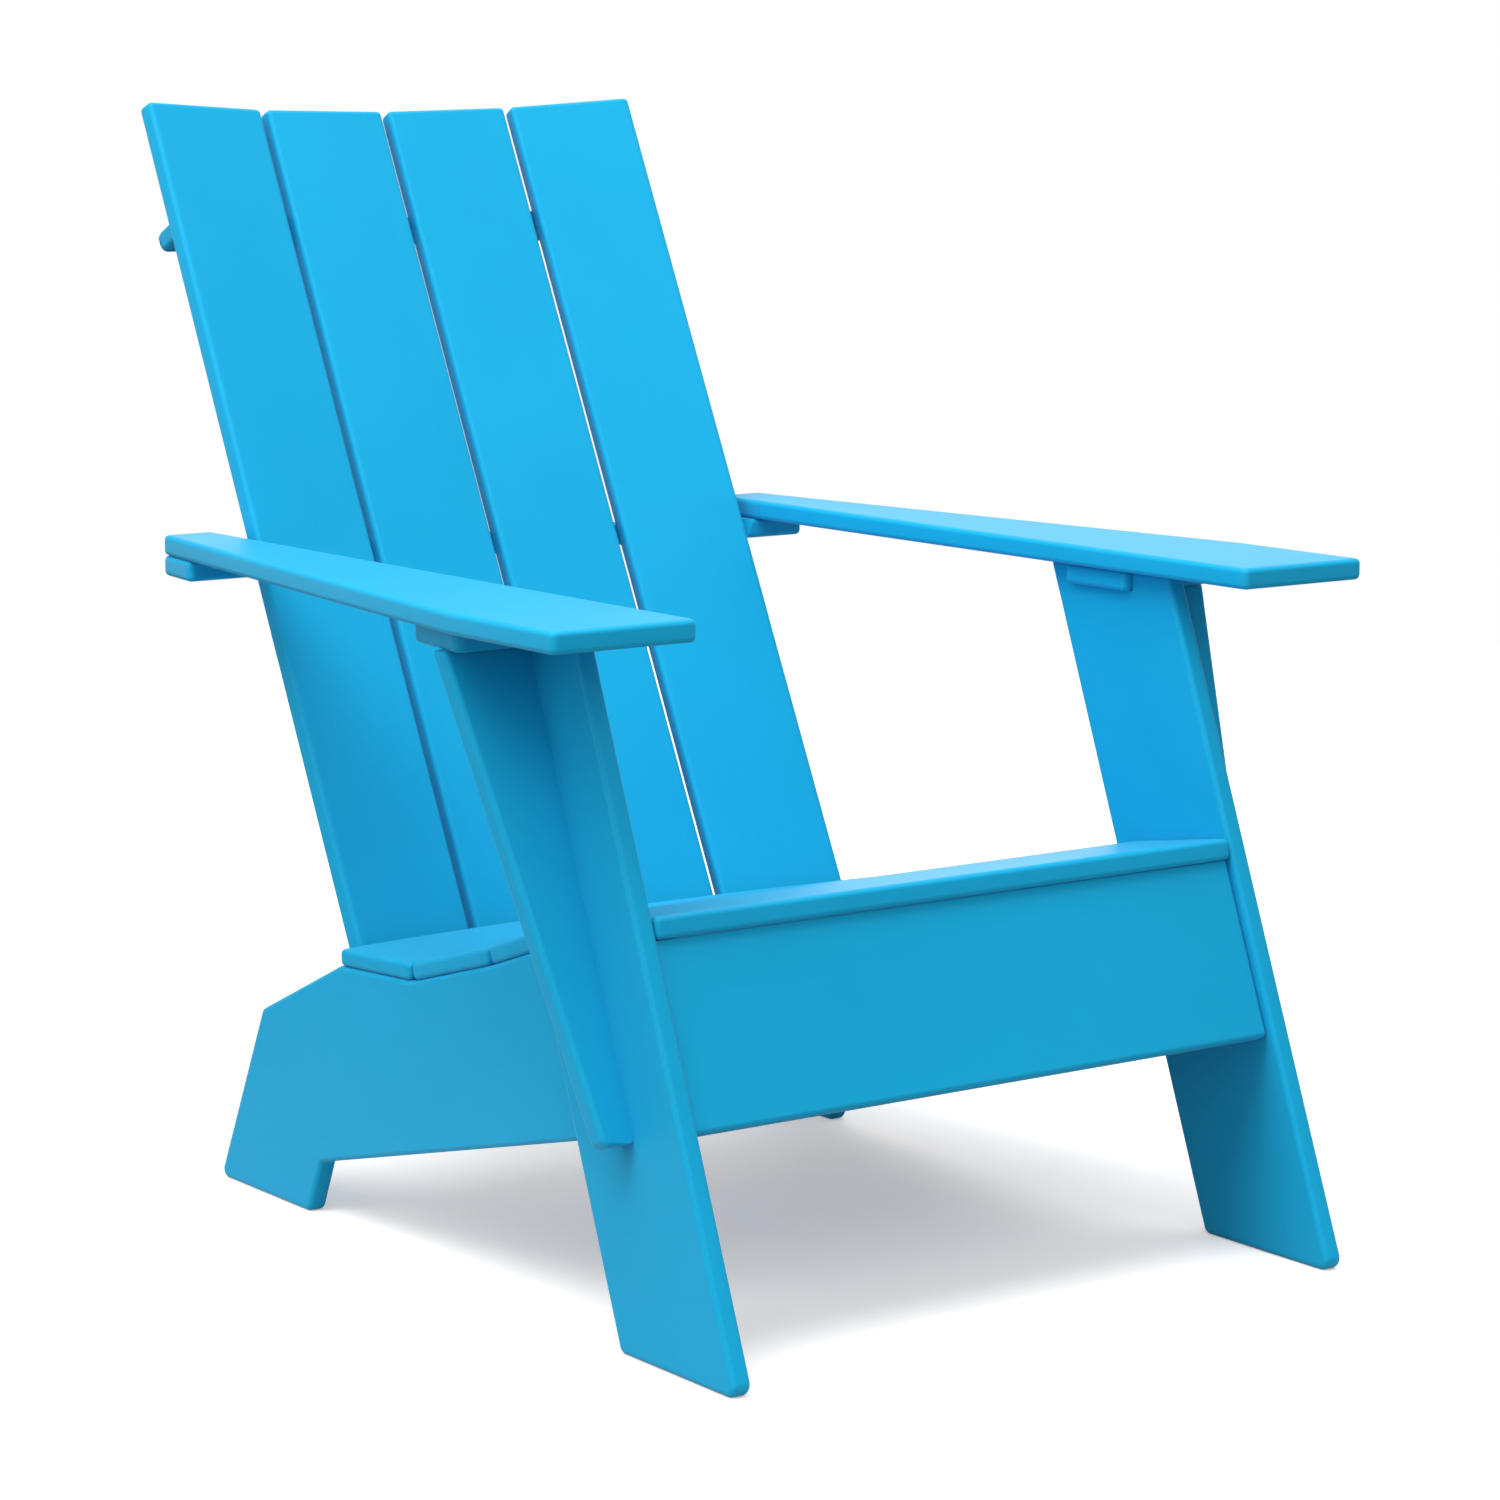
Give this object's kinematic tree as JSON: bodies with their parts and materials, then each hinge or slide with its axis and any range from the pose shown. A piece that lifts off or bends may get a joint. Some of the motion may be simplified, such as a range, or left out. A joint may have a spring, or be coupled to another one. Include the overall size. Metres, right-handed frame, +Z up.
{
  "type": "adirondack chair",
  "caption": "Low reclined garden armchair of flat plastic-lumber boards with broad flat arms, a fanned slatted back and a curved slatted seat.",
  "frame": {"origin": "on the floor, at the middle of the chair's overall length and width", "axes": "+Z up, the chair faces -Y, +X towards the right-hand arm as seen from the front"},
  "size_m": [0.86, 1.0678, 1.0098],
  "materials": {
    "lumber": "satin, fine sanded texture, coloured through",
    "steel": "plain stainless screws"
  },
  "bodies": {
    "root": {"leg_left": "lumber", "leg_right": "lumber", "side_rail_left": "lumber", "side_rail_right": "lumber", "front_apron": "lumber", "seat_slat_1": "lumber", "seat_slat_2": "lumber", "seat_slat_3": "lumber", "seat_slat_4": "lumber", "back_slat_1": "lumber", "back_slat_2": "lumber", "back_slat_3": "lumber", "back_slat_4": "lumber", "upper_brace": "lumber", "arm_crossbar": "lumber", "lower_brace": "lumber", "arm_left": "lumber", "arm_right": "lumber", "arm_bracket_left": "lumber", "arm_bracket_right": "lumber", "arm_cleat_left": "lumber", "arm_cleat_right": "lumber", "seat_ledger_left": "lumber", "seat_ledger_right": "lumber", "apron_blocks": "lumber", "brace_blocks": "lumber", "upper_brace_screws": "steel", "crossbar_screws": "steel", "lower_brace_screws": "steel", "seat_screws": "steel", "ledger_screws": "steel", "leg_screws": "steel", "bracket_screws": "steel", "bracket_top_screws": "steel", "arm_screws": "steel", "apron_block_screws": "steel", "brace_block_screws": "steel"}
  },
  "joints": []
}
